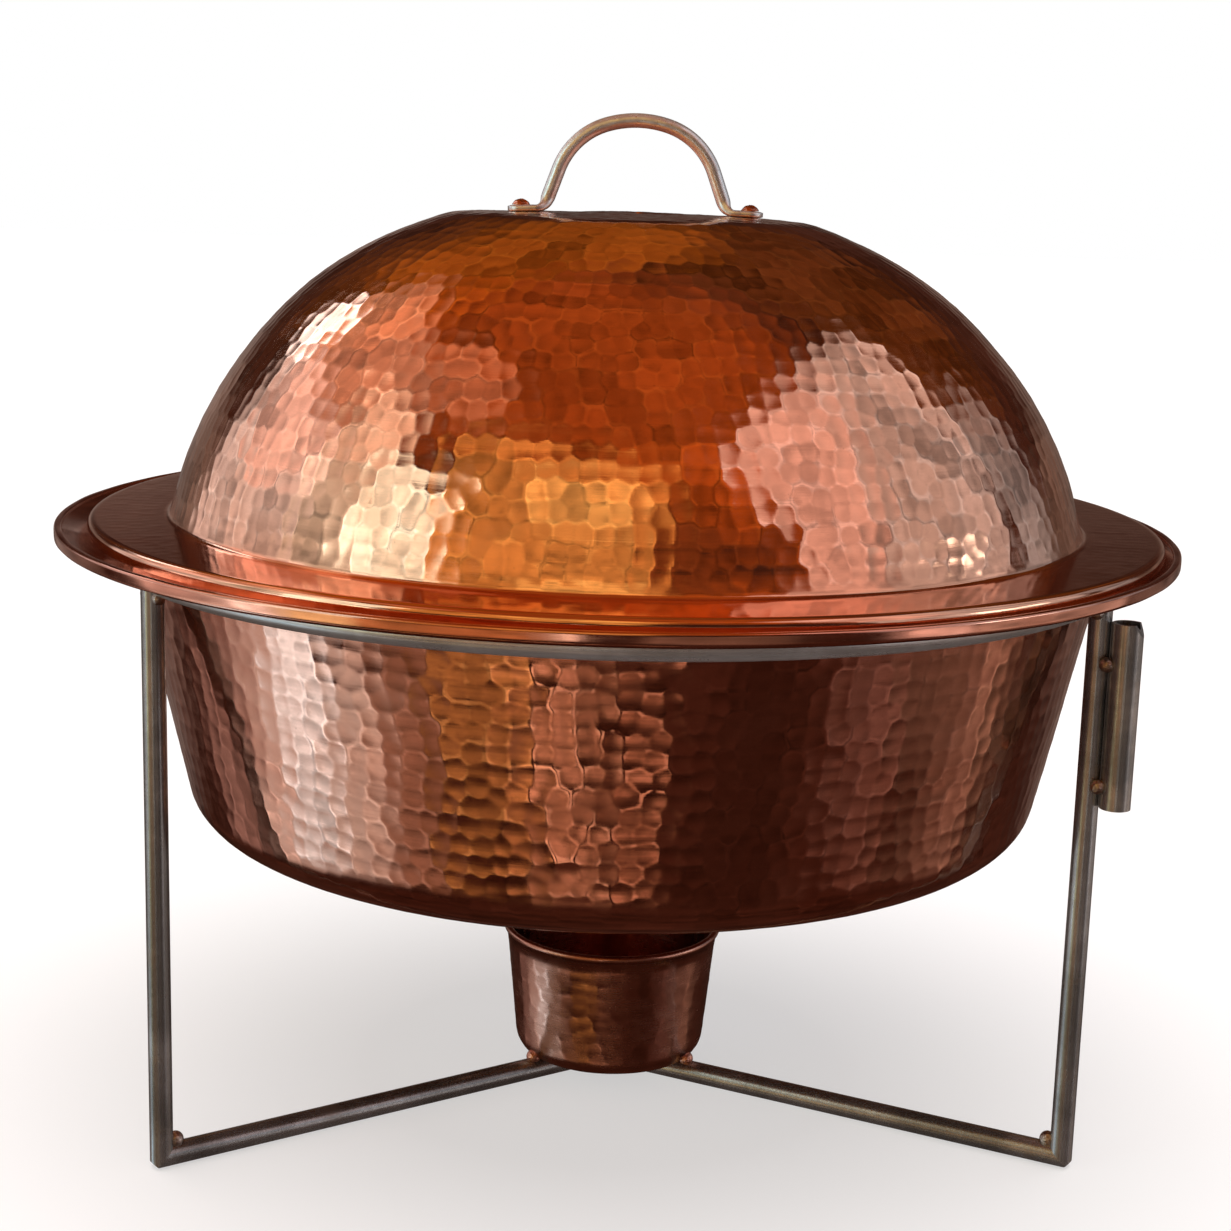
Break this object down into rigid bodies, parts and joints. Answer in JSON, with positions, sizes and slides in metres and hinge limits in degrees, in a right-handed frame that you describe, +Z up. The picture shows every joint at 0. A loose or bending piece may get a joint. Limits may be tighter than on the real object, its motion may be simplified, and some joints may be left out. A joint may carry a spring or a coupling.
{
  "type": "round chafing dish",
  "caption": "Round hammered-copper chafing dish: domed lid with an arched handle over nested pans, on a welded steel stand with a burner cup for gel fuel.",
  "frame": {"origin": "on the floor, below the middle of the pan's brim", "axes": "+Z up; the front of the dish, between its two front legs, faces -Y; +X is the side with the accessory sleeve"},
  "size_m": [0.5113, 0.5114, 0.4552],
  "materials": {
    "copper_lid": "hammered and polished copper",
    "copper_pan": "hammered and polished copper, darker",
    "copper_cup": "hammered copper",
    "rivet_copper": "polished copper",
    "braze_copper": "brazing metal as left by the torch",
    "stand_steel": "bare steel bar, lightly brushed",
    "weld_steel": "weld bead",
    "handle_steel": "polished warm grey metal",
    "stainless": "satin stainless steel"
  },
  "bodies": {
    "stand": {"stand_ring": "stand_steel", "leg_left": "stand_steel", "leg_right": "stand_steel", "leg_back": "stand_steel", "base_bar_left": "stand_steel", "base_bar_right": "stand_steel", "base_bar_back": "stand_steel", "foot_welds": "weld_steel", "ring_welds": "weld_steel", "hub_welds": "weld_steel", "accessory_sleeve": "stand_steel", "sleeve_welds": "weld_steel", "burner_cup": "copper_cup", "cup_brazes": "braze_copper"},
    "pan": {"water_pan": "copper_pan"},
    "insert": {"food_pan": "stainless"},
    "lid": {"lid_shell": "copper_lid", "lid_handle": "handle_steel", "handle_rivets": "rivet_copper", "rivet_burrs": "rivet_copper"}
  },
  "joints": [
    {"name": "pan_lift", "type": "slide", "parent": "stand", "child": "pan", "axis": [0, 0, 1], "range_m": [0, 0.145]},
    {"name": "food_pan_lift", "type": "slide", "parent": "pan", "child": "insert", "axis": [0, 0, 1], "range_m": [0, 0.08]},
    {"name": "lid_lift", "type": "slide", "parent": "insert", "child": "lid", "axis": [0, 0, 1], "range_m": [0, 0.12]}
  ]
}
